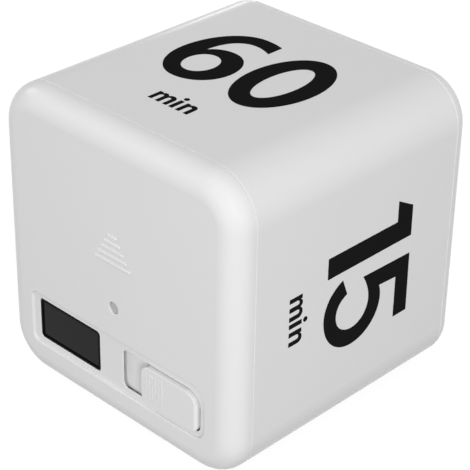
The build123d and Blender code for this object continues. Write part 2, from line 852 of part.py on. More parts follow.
def spring(side, rise):
    """A battery spring: one wire, square to its plate and to the cell, that winds inwards."""
    run = spring_wire
    entry = spring_wire + spring_entry_length

    def on_coil(quarter):
        """Point of the coil after so many quarter turns."""
        share = quarter / (4 * spring_turns)
        angle = quarter * math.pi / 2
        radius = spring_base_radius + share * (spring_tip_radius - spring_base_radius)
        reach = entry + share * (spring_length - 2 * entry)
        across = side * (contact_face - reach)
        return place(across, rise + radius * math.sin(angle), cell_axis_depth + radius * math.cos(angle))

    def heading(quarter):
        """Direction of the coil there."""
        step = 1 / 64
        return on_coil(quarter + step) - on_coil(quarter - step)

    inward = Vector(-side, 0, 0)
    quarters = 4 * spring_turns
    foot = on_coil(-spring_entry_share)
    foot = Vector(side * contact_face, foot.Y, foot.Z)
    top = on_coil(quarters + spring_entry_share)
    top = Vector(side * (contact_face - spring_length), top.Y, top.Z)
    arcs = biarc(foot + inward * run, inward, on_coil(0), heading(0))
    for quarter in range(quarters):
        arcs += biarc(on_coil(quarter), heading(quarter), on_coil(quarter + 1), heading(quarter + 1))
    arcs += biarc(on_coil(quarters), heading(quarters), top - inward * run, inward)
    path = Wire([Line(foot, foot + inward * run)] + arcs + [Line(top - inward * run, top)])
    section = Plane(origin=foot, z_dir=inward) * Circle(spring_wire / 2)
    tightest = min(arc.radius for arc in arcs)
    print("spring: least gap", round(least_gap(path, spring_wire), 2), "tightest bend", round(tightest, 2))
    return sweep(section, path)


def least_gap(path, diameter):
    """The least clear distance between two stretches of one wire, measured on points along it."""
    count = 240
    step = path.length / count
    apart = math.ceil(2 * math.pi * diameter / step)
    reaches = [number * step for number in range(count + 1)]
    points = [path.position_at(reach, position_mode=PositionMode.LENGTH) for reach in reaches]
    gaps = [
        (points[first] - points[second]).length - diameter
        for first in range(count + 1)
        for second in range(first + apart, count + 1)
    ]
    return min(gaps)


def contact(rise):
    """A contact plate at the tray's right end, its tab through the tray's floor."""
    plate = Pos(contact_middle, rise) * Rectangle(contact_thickness, contact_height)
    tab = Pos(contact_middle, rise) * Rectangle(contact_thickness, tab_width)
    return prism(plate, contact_front, floor_front) + prism(tab, floor_front, frame_back + tab_length)


def link_contact():
    """The plate at the tray's left end that joins the two cells."""
    plate = Pos(-contact_middle, tray_rise) * Rectangle(contact_thickness, cell_pitch + contact_height)
    return prism(plate, contact_front, floor_front)


def buzzer_disc():
    """The sounder's brass disc."""
    return prism(Circle(buzzer_diameter / 2), buzzer_front, buzzer_back)


def buzzer_ceramic():
    """The ceramic layer on the sounder's disc."""
    return prism(Circle(ceramic_diameter / 2), ceramic_front, buzzer_front)


def lead(points, diameter):
    """An insulated wire along straight runs, with bends as wide as the runs allow."""
    route = [place(*point) for point in points]
    radii = []
    for before, corner, after in zip(route, route[1:], route[2:]):
        shorter = min((corner - before).length, (after - corner).length)
        half_turn = math.radians((corner - before).get_angle(after - corner)) / 2
        radii.append(bend_share * shorter / math.tan(half_turn))
    print("lead bends", [round(radius, 1) for radius in radii])
    path = FilletPolyline(*route, radius=radii)
    section = Plane(origin=route[0], z_dir=route[1] - route[0]) * Circle(diameter / 2)
    return sweep(section, path)


def power_lead(rise, pad_rise):
    """A lead from a contact's tab to the back of the circuit board."""
    across = contact_face - pin_fit - power_lead_diameter / 2
    start = frame_back + pin_fit
    back = start + power_lead_back
    points = [
        (across, rise, start),
        (across, rise, back),
        (pad_across, pad_rise, back),
        (pad_across, pad_rise, board_back),
    ]
    return lead(points, power_lead_diameter)


def buzzer_lead(joint_across, joint_depth, spread):
    """A lead from the sounder to the back of the circuit board, along the side of the housing."""
    pad_rise = tilt_rise + spread
    lift_depth = joint_depth - buzzer_lead_lift
    turn_depth = frame_back + power_lead_back
    points = [
        (joint_across, spread, joint_depth),
        (joint_across, spread, lift_depth),
        (buzzer_lead_across, spread, lift_depth - buzzer_lead_lift),
        (buzzer_lead_across, pad_rise, turn_depth),
        (-pad_across, pad_rise, turn_depth - buzzer_lead_lift / 2),
        (-pad_across, pad_rise, board_back),
    ]
    return lead(points, buzzer_lead_diameter)


pieces = {
    "housing_sleeve": housing_sleeve(),
    "front_cover": front_cover(),
    "rear_cover": rear_cover(),
    "inner_frame": inner_frame(),
    "frame_screws": frame_screws(),
    "main_board": main_board(),
    "board_screws": board_screws(),
    "lcd_bezel": lcd_bezel(),
    "lcd_window": lcd_window(),
    "lcd_cell": lcd_cell(),
    "zebra_strips": zebra_strips(),
    "switch_knob": switch_knob(),
    "switch_lever": switch_lever(),
    "switch_wiper": switch_wiper(),
    "switch_case": switch_case(),
    "switch_base": switch_base(),
    "switch_terminals": switch_terminals(),
    "alarm_led": alarm_led(),
    "led_legs": led_legs(),
    "light_pipe": light_pipe(),
    "tilt_case": tilt_case(),
    "tilt_cover": tilt_cover(),
    "tilt_ball": tilt_ball(),
    "tilt_pins": tilt_pins(),
    "controller_blob": controller_blob(),
    "clock_crystal": clock_crystal(),
    "chip_components": chip_components(),
    "supply_capacitor": supply_capacitor(),
    "upper_cell": cell(1, upper_rise),
    "lower_cell": cell(-1, lower_rise),
    "upper_spring": spring(-1, upper_rise),
    "lower_spring": spring(1, lower_rise),
    "link_contact": link_contact(),
    "positive_contact": contact(upper_rise),
    "negative_contact": contact(lower_rise),
    "red_lead": power_lead(upper_rise, tilt_rise + buzzer_lead_spread),
    "black_lead": power_lead(lower_rise, low_pad_rise),
    "buzzer_disc": buzzer_disc(),
    "buzzer_ceramic": buzzer_ceramic(),
    "buzzer_red_lead": buzzer_lead(ceramic_joint_across, ceramic_front, -buzzer_lead_spread),
    "buzzer_black_lead": buzzer_lead(brass_joint_across, buzzer_front, buzzer_lead_spread),
}

os.makedirs("parts", exist_ok=True)
for node, shape in pieces.items():
    solids = Compound(children=shape) if isinstance(shape, list) else shape
    export_step(solids, f"parts/{node}.step")
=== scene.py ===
"""Cube timer: the finish of every piece, the printed times, the springs and leads, and the studio."""

import json
import math

import bmesh
import bpy
from mathutils import Matrix, Vector


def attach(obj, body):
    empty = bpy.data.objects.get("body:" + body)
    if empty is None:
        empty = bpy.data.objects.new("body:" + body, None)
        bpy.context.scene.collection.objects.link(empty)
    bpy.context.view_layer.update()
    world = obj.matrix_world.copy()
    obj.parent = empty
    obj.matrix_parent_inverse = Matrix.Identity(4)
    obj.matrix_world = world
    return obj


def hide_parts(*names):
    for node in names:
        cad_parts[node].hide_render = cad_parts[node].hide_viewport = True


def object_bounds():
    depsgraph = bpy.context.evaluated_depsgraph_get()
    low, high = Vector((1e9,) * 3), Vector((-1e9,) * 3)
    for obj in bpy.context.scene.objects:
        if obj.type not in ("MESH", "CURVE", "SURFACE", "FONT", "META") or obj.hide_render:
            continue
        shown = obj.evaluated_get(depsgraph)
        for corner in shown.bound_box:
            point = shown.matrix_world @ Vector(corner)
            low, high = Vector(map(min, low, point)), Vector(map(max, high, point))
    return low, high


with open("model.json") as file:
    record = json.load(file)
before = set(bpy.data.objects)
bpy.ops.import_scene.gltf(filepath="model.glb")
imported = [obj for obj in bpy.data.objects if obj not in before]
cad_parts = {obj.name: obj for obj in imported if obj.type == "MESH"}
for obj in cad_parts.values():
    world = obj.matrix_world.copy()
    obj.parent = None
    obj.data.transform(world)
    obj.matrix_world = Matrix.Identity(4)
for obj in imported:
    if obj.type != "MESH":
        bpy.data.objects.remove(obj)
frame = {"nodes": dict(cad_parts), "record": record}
nodes = frame["nodes"]
cad_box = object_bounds()

mm = 0.001

# Camera, fitted to the photograph
camera_azimuth = math.radians(44.224)
camera_elevation = math.radians(30.188)
camera_roll = math.radians(0.938)
camera_reach = 337.1 * mm
camera_aim = Vector((0, -1.13 * mm, 31.5 * mm))
camera_lens = 132.53
camera_sensor = 36
camera_shift = (0.0132, -0.0210)
camera_near = 10 * mm

# Lamps: azimuth and elevation in degrees, width in metres and power in watts
lamp_reach = 0.75
lamps = {
    "key": (52, 20, 0.2, 2.22),
    "corner_glint": (47, 23, 0.14, 0.26),
    "left_key": (15, 10, 0.25, 1.22),
    "right_key": (80, 20, 0.4, 0.79),
    "front_fill": (-45, 30, 0.3, 0.18),
    "left_fill": (-75, 30, 0.3, 0.82),
    "rear_rim": (-134, 9, 0.15, 0.13),
    "rear_fill": (180, 12, 0.3, 1.0),
}
# These light the surfaces but leave no mirror image of the lamp on them
glare_free = ("key", "left_key", "right_key", "rear_fill")

# Light from all round, and the floor
ambient_level = 0.475
floor_reach = 6.0
floor_tones = ((0.88, 0.88, 0.88), (0.92, 0.92, 0.92))
floor_cloud = 40 * mm
floor_roughness = 0.9
floor_white = 1.06
floor_shade_share = 0.12
floor_bounce = (0.18, 0.18, 0.18)

# Print on the sleeve, in millimetres on its face: u along the line of print, v up it
print_thickness = 0.025
curve_steps = 24
round_fullness = 0.5523
baseline = -17.65
letter_m_start = -4.75
letter_i_start = 0.62
letter_n_start = 2.4
dot_across = 1.08
dot_rise = 4.3
dot_radius = 0.56
top_min_shift = (-0.36, 0.1)
right_min_shift = (0.28, -0.04)
single_five_shift = (-6.25, 0)


def curve_outline(points):
    """One closed outline: each point is u, v, and its two handles from it, before and after."""
    return [(u, v, *(handles or (0, 0, 0, 0))) for u, v, handles in points]


def oval(middle_u, middle_v, half_u, half_v, fullness=round_fullness):
    """An oval outline; a greater fullness makes it squarer."""
    hu = half_u * fullness
    hv = half_v * fullness
    return [
        (middle_u - half_u, middle_v, 0, -hv, 0, hv),
        (middle_u, middle_v + half_v, -hu, 0, hu, 0),
        (middle_u + half_u, middle_v, 0, hv, 0, -hv),
        (middle_u, middle_v - half_v, hu, 0, -hu, 0),
    ]


def shifted(outline, du, dv):
    """The same outline elsewhere on the face."""
    return [(u + du, v + dv, *handles) for u, v, *handles in outline]


def placed(outlines, du, dv):
    """The same drawing elsewhere on the face."""
    return [shifted(outline, du, dv) for outline in outlines]


zero = [oval(8.14, 4.31, 7.7, 12.27), oval(8.14, 4.25, 3.49, 7.93)]
six = [
    curve_outline(
        [
            (-2.67, 15.56, (0, 0, -1.3, 0.35)),
            (-6.88, 16.14, (1.6, 0, -5.6, 0)),
            (-16.74, 2.53, (0, 7.6, 0, -6)),
            (-8.78, -7.88, (-4.3, 0, 4.4, 0)),
            (-1.12, -0.17, (0, -4.3, 0, 4.2)),
            (-7.28, 7.34, (3.5, 0, -2.3, 0)),
            (-12.34, 4.73, (1.1, 1.7, 0.05, 4.6)),
            (-6.58, 12.62, (-3.6, 0, 1.5, 0)),
            (-2.67, 11.67, (-1.4, 0.55, 0, 0)),
        ]
    ),
    oval(-8.88, -0.27, 3.39, 4.14, 0.57),
]
one = [
    curve_outline(
        [
            (-10.83, 15.81, None),
            (-4.29, 15.81, None),
            (-4.29, -7.68, None),
            (-8.75, -7.68, None),
            (-8.75, 11.51, None),
            (-13.21, 11.51, None),
        ]
    )
]
five = [
    curve_outline(
        [
            (-0.43, 15.74, None),
            (12.42, 15.84, None),
            (12.42, 11.99, None),
            (3.37, 11.99, None),
            (3.12, 7.17, (0, 0, 0.8, 0.35)),
            (5.47, 7.64, (-0.9, 0, 4.1, 0)),
            (12.92, -0.26, (0, 4.4, 0, -4.5)),
            (4.47, -8.31, (4.6, 0, -3.2, 0)),
            (-2.45, -3.38, (1.3, -3, 0, 0)),
            (1.1, -1.99, (0, 0, 0.65, -1.75)),
            (4.97, -4.91, (-1.9, 0, 2.4, 0)),
            (9.22, -0.36, (0, -2.5, 0, 2.6)),
            (4.57, 4.19, (2.6, 0, -1.9, 0)),
            (-0.73, 2.35, (1.5, 1, 0, 0)),
        ]
    )
]
three = [
    curve_outline(
        [
            (-14.9, 12.4, (0, 0, 1.5, 2.3)),
            (-8.4, 16.1, (-2.9, 0, 3.7, 0)),
            (-2.1, 9.9, (0, 3.5, 0, -2.4)),
            (-4.9, 4.9, (1.8, 0.9, 2.5, -0.9)),
            (-0.95, -1.0, (0, 2.9, 0, -4.1)),
            (-8.6, -8.1, (4.4, 0, -3.3, 0)),
            (-15.9, -4.2, (1.7, -2.5, 0, 0)),
            (-12.9, -1.5, (0, 0, 1.1, -1.7)),
            (-8.6, -4.2, (-1.9, 0, 2.1, 0)),
            (-5.1, -1.0, (0, -1.9, 0, 2.1)),
            (-9.1, 2.5, (2.4, 0, 0, 0)),
            (-11.3, 2.5, None),
            (-11.3, 6.3, None),
            (-9.4, 6.3, (0, 0, 1.9, 0)),
            (-6.1, 9.4, (0, -1.9, 0, 1.9)),
            (-8.6, 12.3, (1.5, 0, -1.7, 0)),
            (-12.1, 9.9, (0.8, 1.4, 0, 0)),
        ]
    )
]
letter_m = curve_outline(
    [
        (-0.03, -0.03, None),
        (-0.03, 3.33, None),
        (0.86, 3.33, None),
        (0.88, 2.9, (0, 0, 0.2, 0.3)),
        (1.7, 3.45, (-0.42, 0, 0.5, 0)),
        (2.5, 2.9, (-0.22, 0.35, 0.3, 0.38)),
        (3.55, 3.45, (-0.45, 0, 0.72, 0)),
        (4.75, 2.15, (0, 0.75, 0, -0.3)),
        (4.75, -0.03, None),
        (3.79, -0.03, None),
        (3.79, 1.95, (0, 0, 0, 0.45)),
        (3.32, 2.57, (0.33, 0, -0.33, 0)),
        (2.85, 1.95, (0, 0.42, 0, 0)),
        (2.85, -0.03, None),
        (1.87, -0.03, None),
        (1.87, 1.95, (0, 0, 0, 0.45)),
        (1.42, 2.57, (0.33, 0, -0.3, 0)),
        (0.93, 1.9, (0, 0.4, 0, 0)),
        (0.93, -0.03, None),
    ]
)
letter_n = curve_outline(
    [
        (-0.03, -0.03, None),
        (-0.03, 3.33, None),
        (0.89, 3.33, None),
        (0.91, 2.9, (0, 0, 0.25, 0.35)),
        (1.85, 3.45, (-0.5, 0, 0.75, 0)),
        (2.98, 2.15, (0, 0.75, 0, -0.3)),
        (2.98, -0.03, None),
        (2, -0.03, None),
        (2, 1.95, (0, 0, 0, 0.45)),
        (1.52, 2.57, (0.35, 0, -0.35, 0)),
        (0.95, 1.9, (0, 0.4, 0, 0)),
        (0.95, -0.03, None),
    ]
)
letter_i = curve_outline(
    [
        (-0.03, -0.03, None),
        (-0.03, 3.33, None),
        (0.95, 3.33, None),
        (0.95, -0.03, None),
    ]
)
word_min = [
    shifted(letter_m, letter_m_start, baseline),
    shifted(letter_i, letter_i_start, baseline),
    oval(dot_across, baseline + dot_rise, dot_radius, dot_radius),
    shifted(letter_n, letter_n_start, baseline),
]
top_min = placed(word_min, *top_min_shift)
right_min = placed(word_min, *right_min_shift)
single_five = placed(five, *single_five_shift)

# Battery springs and cells, in millimetres across, back from the middle and up from the table
cell_back = -23.55
upper_cell_up = 46.95
lower_cell_up = 35.65
contact_face = 24.75
cell_shoulder = 23.75
cell_tail = 19.75
jacket_inset = 0.75
band_length = 9.0
spring_length = 5.0
spring_wire = 0.6
spring_base_radius = 3.5
spring_tip_radius = 2.1
spring_turns = 2
spring_entry = 1.5
steps_per_turn = 16

# Leads inside, in millimetres across, back from the middle and up from the table
power_lead_diameter = 1.2
contact_tail_across = 24.1
contact_tail_back = -16.65
power_run_back = -11.65
red_pad_up = 23.7
black_pad_up = 11.005
sounder_lead_diameter = 1.0
disc_joint = (-4, 27.75, 25.5)
ceramic_joint = (-10, 28.0, 37.5)
sounder_step = 4.0
wall_run_across = -23.5
wall_run_end = -11.7
pad_turn_back = -13.7
sounder_red_pad_up = 11.7
sounder_black_pad_up = 23.7
pad_across = 14.5
pad_back = -21.05
wire_steps = 12
wire_sides = 6
wire_order = 3


def power_route(up, pad_up):
    """From a battery contact's tail to its pad on the circuit board."""
    return [
        (contact_tail_across, contact_tail_back, up),
        (contact_tail_across, power_run_back, up),
        (pad_across, power_run_back, pad_up),
        (pad_across, pad_back, pad_up),
    ]


def sounder_route(joint, pad_up):
    """From a joint on the sounder along the side wall to its pad on the circuit board."""
    across, back, up = joint
    return [
        joint,
        (across, back - sounder_step, up),
        (wall_run_across, back - 2 * sounder_step, up),
        (wall_run_across, wall_run_end, pad_up),
        (-pad_across, pad_turn_back, pad_up),
        (-pad_across, pad_back, pad_up),
    ]


lead_routes = {
    "red_lead": (power_lead_diameter, power_route(upper_cell_up, red_pad_up)),
    "black_lead": (power_lead_diameter, power_route(lower_cell_up, black_pad_up)),
    "buzzer_red_lead": (sounder_lead_diameter, sounder_route(disc_joint, sounder_red_pad_up)),
    "buzzer_black_lead": (sounder_lead_diameter, sounder_route(ceramic_joint, sounder_black_pad_up)),
}

# Circuit board tracks, chips and capacitor, in millimetres
long_track = (8.0, 1.3)
short_track = (1.7, 5.0)
long_track_seed = 3.0
short_track_seed = 7.0
track_middle_share = 0.5
track_half_share = 0.16
track_chance_share = 0.55
track_relief = 0.03 * mm
chip_up = 24.1
chip_end = 0.62
capacitor_across = 13.0
capacitor_top = -14.2
capacitor_stripe = 1.5

# Finishes of plastic, resin, rubber and ink: tone, roughness, mottle, haze, cloud, grain and relief
moulded_finishes = {
    "housing_white": ((0.737, 0.737, 0.741), 0.2, 0.012, 0.05, 9.0, 0.35, 0.0012),
    "knob_white": ((0.75, 0.75, 0.754), 0.22, 0.015, 0.05, 4.0, 0.3, 0.0012),
    "bezel_black": ((0.004, 0.004, 0.0042), 0.5, 0.15, 0.1, 2.0, 0.15, 0.004),
    "window_dark": ((0.009, 0.009, 0.0095), 0.1, 0.06, 0.03, 5.0, 0.4, 0.0003),
    "display_glass": ((0.3, 0.33, 0.28), 0.08, 0.06, 0.03, 3.0, 0.5, 0.0003),
    "zebra_rubber": ((0.3, 0.28, 0.25), 0.7, 0.12, 0.08, 1.0, 0.12, 0.006),
    "nylon_black": ((0.025, 0.025, 0.026), 0.45, 0.1, 0.1, 1.5, 0.15, 0.004),
    "phenolic_brown": ((0.3, 0.16, 0.08), 0.6, 0.15, 0.1, 1.2, 0.2, 0.005),
    "led_red": ((0.5, 0.035, 0.025), 0.12, 0.05, 0.03, 2.0, 0.4, 0.0004),
    "pipe_milky": ((0.44, 0.44, 0.44), 0.3, 0.04, 0.05, 1.0, 0.2, 0.001),
    "sensor_black": ((0.022, 0.022, 0.024), 0.5, 0.1, 0.1, 2.0, 0.2, 0.004),
    "resin_black": ((0.012, 0.012, 0.012), 0.2, 0.2, 0.12, 1.6, 0.5, 0.006),
    "lead_red": ((0.42, 0.025, 0.02), 0.42, 0.06, 0.08, 2.0, 0.2, 0.002),
    "lead_black": ((0.02, 0.02, 0.021), 0.42, 0.1, 0.08, 2.0, 0.2, 0.002),
    "ceramic_silver": ((0.72, 0.72, 0.7), 0.45, 0.08, 0.12, 1.4, 0.12, 0.004),
    "board_green": ((0.012, 0.1, 0.04), 0.32, 0.15, 0.1, 1.5, 0.2, 0.003),
    "chip_ceramic": ((0.035, 0.034, 0.033), 0.45, 0.2, 0.1, 0.8, 0.1, 0.003),
    "capacitor_sleeve": ((0.012, 0.014, 0.03), 0.35, 0.15, 0.1, 2.0, 0.2, 0.002),
    "cell_jacket": ((0.02, 0.035, 0.085), 0.28, 0.1, 0.08, 3.0, 0.25, 0.0015),
    "print_ink": ((0.012, 0.012, 0.0121), 0.6, 0.3, 0.15, 1.2, 0.12, 0.001),
}
gloss_levels = {
    "housing_white": 0.18,
    "knob_white": 0.18,
    "window_dark": 0.08,
    "bezel_black": 0.04,
    "print_ink": 0.0,
}

# Tones of the zones that are painted or bare
copper_tone = (0.03, 0.21, 0.085)
chip_end_tone = (0.62, 0.62, 0.63)
capacitor_mark_tone = (0.55, 0.56, 0.58)
cell_end_tone = (0.6, 0.6, 0.61)
cell_band_tone = (0.62, 0.62, 0.6)

# Finishes of the bright metals: tone, roughness, and how much their streaks are squeezed each way
drawn_finishes = {
    "screw_steel": ((0.52, 0.52, 0.54), 0.34, (1, 6, 1)),
    "switch_metal": ((0.6, 0.6, 0.61), 0.36, (1, 8, 8)),
    "contact_bronze": ((0.66, 0.5, 0.3), 0.33, (1, 8, 8)),
    "pin_tin": ((0.64, 0.64, 0.65), 0.4, (6, 1, 6)),
    "ball_steel": ((0.68, 0.68, 0.69), 0.12, (1, 1, 1)),
    "crystal_can": ((0.58, 0.59, 0.6), 0.3, (1, 7, 7)),
    "spring_steel": ((0.62, 0.62, 0.61), 0.28, (3, 1, 1)),
    "contact_nickel": ((0.62, 0.61, 0.58), 0.3, (7, 1, 7)),
    "buzzer_brass": ((0.72, 0.53, 0.24), 0.34, (1, 1, 9)),
}
streak_size = 0.6 * mm
metal_cloud_size = 1.8 * mm
metal_tone_swing = 0.3
metal_gloss_swing = 0.35
drawn_relief = 0.002 * mm

# Noise, which lies about its middle, and the sockets of a colour mix
cloud_detail = 3.0
grain_detail = 2.0
streak_detail = 4.0
noise_middle = 0.5
mix_factor, mix_first, mix_second = 0, 6, 7
mix_result = 2


def add_node(tree, kind, **settings):
    """A node with some of its settings and input values."""
    made = tree.nodes.new(kind)
    for name, value in settings.items():
        if name == "inputs":
            for key, number in value.items():
                made.inputs[key].default_value = number
        else:
            setattr(made, name, value)
    return made


def new_group(name, inputs, outputs):
    """A shader node group with named sockets, and its input and output nodes."""
    group = bpy.data.node_groups.new(name, "ShaderNodeTree")
    for label, kind, value in inputs:
        made = group.interface.new_socket(name=label, in_out="INPUT", socket_type="NodeSocket" + kind)
        made.default_value = value
    for label, kind in outputs:
        group.interface.new_socket(name=label, in_out="OUTPUT", socket_type="NodeSocket" + kind)
    return group, group.nodes.new("NodeGroupInput"), group.nodes.new("NodeGroupOutput")


def math_node(tree, operation, first, second=None, clamp=False):
    """A sum, a product or the like of sockets or numbers."""
    made = add_node(tree, "ShaderNodeMath", operation=operation, use_clamp=clamp)
    for slot, value in enumerate((first, second)):
        if isinstance(value, (int, float)):
            made.inputs[slot].default_value = value
        elif value is not None:
            tree.links.new(value, made.inputs[slot])
    return made.outputs[0]


def mix_colors(tree, factor, first, second):
    """A colour between two sockets or colours."""
    made = add_node(tree, "ShaderNodeMix", data_type="RGBA")
    for slot, value in ((mix_factor, factor), (mix_first, first), (mix_second, second)):
        if isinstance(value, bpy.types.NodeSocket):
            tree.links.new(value, made.inputs[slot])
        elif isinstance(value, tuple):
            made.inputs[slot].default_value = (*value, 1)
        else:
            made.inputs[slot].default_value = value
    return made.outputs[mix_result]


def mean_of(tree, first, second):
    """Half the sum of two sockets."""
    return math_node(tree, "MULTIPLY", math_node(tree, "ADD", first, second), 0.5)


def swing_about(tree, value, depth):
    """How far a noise lies from its middle, times a depth."""
    return math_node(tree, "MULTIPLY", math_node(tree, "SUBTRACT", value, noise_middle), depth)


def tinted(tree, color, factor, depth):
    """A colour made lighter and darker about its own tone by a factor from 0 to 1."""
    level = math_node(tree, "ADD", swing_about(tree, factor, depth), 1.0)
    scaled = add_node(tree, "ShaderNodeVectorMath", operation="SCALE")
    tree.links.new(color, scaled.inputs[0])
    tree.links.new(level, scaled.inputs["Scale"])
    return scaled.outputs[0]


def noise(tree, vector, size, detail):
    """Noise whose features have this size in metres, given as a number or a socket in millimetres."""
    made = add_node(tree, "ShaderNodeTexNoise", inputs={"Detail": detail})
    tree.links.new(vector, made.inputs["Vector"])
    if isinstance(size, bpy.types.NodeSocket):
        tree.links.new(math_node(tree, "DIVIDE", 1 / mm, size), made.inputs["Scale"])
    else:
        made.inputs["Scale"].default_value = 1 / size
    return made.outputs[0]


def moulded_group():
    """Moulded plastic: clouds of tone and gloss, and the fine grain of the mould."""
    group, given, result = new_group(
        "moulded_skin",
        [
            ("Tone", "Color", (0.5, 0.5, 0.5, 1)),
            ("Mottle", "Float", 0.05),
            ("Gloss Roughness", "Float", 0.3),
            ("Haze", "Float", 0.05),
            ("Cloud mm", "Float", 5.0),
            ("Grain mm", "Float", 0.3),
        ],
        [("Color", "Color"), ("Roughness", "Float"), ("Height", "Float")],
    )
    place = group.nodes.new("ShaderNodeTexCoord").outputs["Object"]
    cloud = noise(group, place, given.outputs["Cloud mm"], cloud_detail)
    grain = noise(group, place, given.outputs["Grain mm"], grain_detail)
    tone = tinted(group, given.outputs["Tone"], mean_of(group, cloud, grain), given.outputs["Mottle"])
    group.links.new(tone, result.inputs["Color"])
    haze = swing_about(group, cloud, given.outputs["Haze"])
    rough = math_node(group, "ADD", given.outputs["Gloss Roughness"], haze, clamp=True)
    group.links.new(rough, result.inputs["Roughness"])
    group.links.new(grain, result.inputs["Height"])
    return group


def drawn_group():
    """Drawn or rolled metal: fine streaks along its length, and duller clouds."""
    group, given, result = new_group(
        "drawn_metal",
        [
            ("Tone", "Color", (0.6, 0.6, 0.6, 1)),
            ("Roughness Level", "Float", 0.3),
            ("Squeeze", "Vector", (1, 1, 1)),
        ],
        [("Color", "Color"), ("Roughness", "Float"), ("Height", "Float")],
    )
    place = group.nodes.new("ShaderNodeTexCoord").outputs["Object"]
    squeezed = add_node(group, "ShaderNodeVectorMath", operation="MULTIPLY")
    group.links.new(place, squeezed.inputs[0])
    group.links.new(given.outputs["Squeeze"], squeezed.inputs[1])
    streak = noise(group, squeezed.outputs[0], streak_size, streak_detail)
    cloud = noise(group, place, metal_cloud_size, cloud_detail)
    both = mean_of(group, streak, cloud)
    tone = tinted(group, given.outputs["Tone"], both, metal_tone_swing)
    group.links.new(tone, result.inputs["Color"])
    swing = swing_about(group, both, metal_gloss_swing)
    rough = math_node(group, "ADD", given.outputs["Roughness Level"], swing, clamp=True)
    group.links.new(rough, result.inputs["Roughness"])
    group.links.new(streak, result.inputs["Height"])
    return group


moulded_skin = moulded_group()
drawn_metal = drawn_group()


def new_material(name):
    """A material with one principled shader."""
    material = bpy.data.materials.new(name)
    material.use_nodes = True
    return material, material.node_tree, material.node_tree.nodes["Principled BSDF"]


def grouped(tree, group, values):
    """A group in a material, with its own values."""
    made = add_node(tree, "ShaderNodeGroup", node_tree=group)
    for key, value in values.items():
        made.inputs[key].default_value = value
    return made


def relieved(tree, shader, height, depth):
    """Bump of this depth in metres."""
    bump = add_node(tree, "ShaderNodeBump", inputs={"Strength": 1.0, "Distance": depth})
    tree.links.new(height, bump.inputs["Height"])
    tree.links.new(bump.outputs["Normal"], shader.inputs["Normal"])


def moulded(name, tone, roughness, mottle, haze, cloud, grain, relief):
    """A moulded plastic, resin or rubber, or ink; cloud, grain and relief are in millimetres."""
    material, tree, shader = new_material(name)
    values = {
        "Tone": (*tone, 1),
        "Mottle": mottle,
        "Gloss Roughness": roughness,
        "Haze": haze,
        "Cloud mm": cloud,
        "Grain mm": grain,
    }
    skin = grouped(tree, moulded_skin, values)
    tree.links.new(skin.outputs["Color"], shader.inputs["Base Color"])
    tree.links.new(skin.outputs["Roughness"], shader.inputs["Roughness"])
    relieved(tree, shader, skin.outputs["Height"], relief * mm)
    return material


def drawn(name, tone, roughness, squeeze):
    """A bright metal with the marks of its drawing."""
    material, tree, shader = new_material(name)
    values = {"Tone": (*tone, 1), "Roughness Level": roughness, "Squeeze": squeeze}
    metal = grouped(tree, drawn_metal, values)
    shader.inputs["Metallic"].default_value = 1.0
    tree.links.new(metal.outputs["Color"], shader.inputs["Base Color"])
    tree.links.new(metal.outputs["Roughness"], shader.inputs["Roughness"])
    relieved(tree, shader, metal.outputs["Height"], drawn_relief)
    return material


materials = {name: moulded(name, *values) for name, values in moulded_finishes.items()}
materials.update({name: drawn(name, *values) for name, values in drawn_finishes.items()})
for name, level in gloss_levels.items():
    materials[name].node_tree.nodes["Principled BSDF"].inputs["Specular IOR Level"].default_value = level


def object_axes(tree):
    """Distances across, back and up in millimetres."""
    place = tree.nodes.new("ShaderNodeTexCoord").outputs["Object"]
    scaled = add_node(tree, "ShaderNodeVectorMath", operation="SCALE", inputs={"Scale": 1 / mm})
    tree.links.new(place, scaled.inputs[0])
    apart = tree.nodes.new("ShaderNodeSeparateXYZ")
    tree.links.new(scaled.outputs[0], apart.inputs[0])
    return apart.outputs


def paint_zone(name, zone_of, zone_tone, bare_metal=False):
    """Another tone on a finish where zone_of gives 1, as bare metal or not; the zone comes back."""
    tree = materials[name].node_tree
    shader = tree.nodes["Principled BSDF"]
    zone = zone_of(tree, *object_axes(tree))
    skin = shader.inputs["Base Color"].links[0].from_socket
    tree.links.new(mix_colors(tree, zone, skin, zone_tone), shader.inputs["Base Color"])
    if bare_metal:
        tree.links.new(zone, shader.inputs["Metallic"])
    return zone


def chip_ends(tree, across, back, up):
    """1 on the tinned ends of the chips."""
    from_middle = math_node(tree, "ABSOLUTE", math_node(tree, "SUBTRACT", up, chip_up))
    return math_node(tree, "GREATER_THAN", from_middle, chip_end)


def capacitor_marks(tree, across, back, up):
    """1 on the capacitor's bare top and on the stripe down its side."""
    from_middle = math_node(tree, "SUBTRACT", across, capacitor_across)
    stripe = math_node(tree, "GREATER_THAN", from_middle, capacitor_stripe)
    top = math_node(tree, "GREATER_THAN", back, capacitor_top)
    return math_node(tree, "MAXIMUM", stripe, top)


def towards_tip(tree, across, up):
    """Distance along a cell towards its raised end: right on the upper cell, left on the lower."""
    above = math_node(tree, "SUBTRACT", up, (upper_cell_up + lower_cell_up) / 2)
    return math_node(tree, "MULTIPLY", across, math_node(tree, "SIGN", above))


def cell_ends(tree, across, back, up):
    """1 on the bare ends of the cells."""
    along = towards_tip(tree, across, up)
    tip = math_node(tree, "GREATER_THAN", along, cell_shoulder - jacket_inset)
    tail = math_node(tree, "LESS_THAN", along, jacket_inset - cell_tail)
    return math_node(tree, "MAXIMUM", tip, tail)


def cell_band(tree, across, back, up):
    """1 on the pale band by the raised ends of the cells."""
    along = towards_tip(tree, across, up)
    past_start = math_node(tree, "GREATER_THAN", along, cell_shoulder - jacket_inset - band_length)
    before_end = math_node(tree, "LESS_THAN", along, cell_shoulder - jacket_inset)
    return math_node(tree, "MULTIPLY", past_start, before_end)


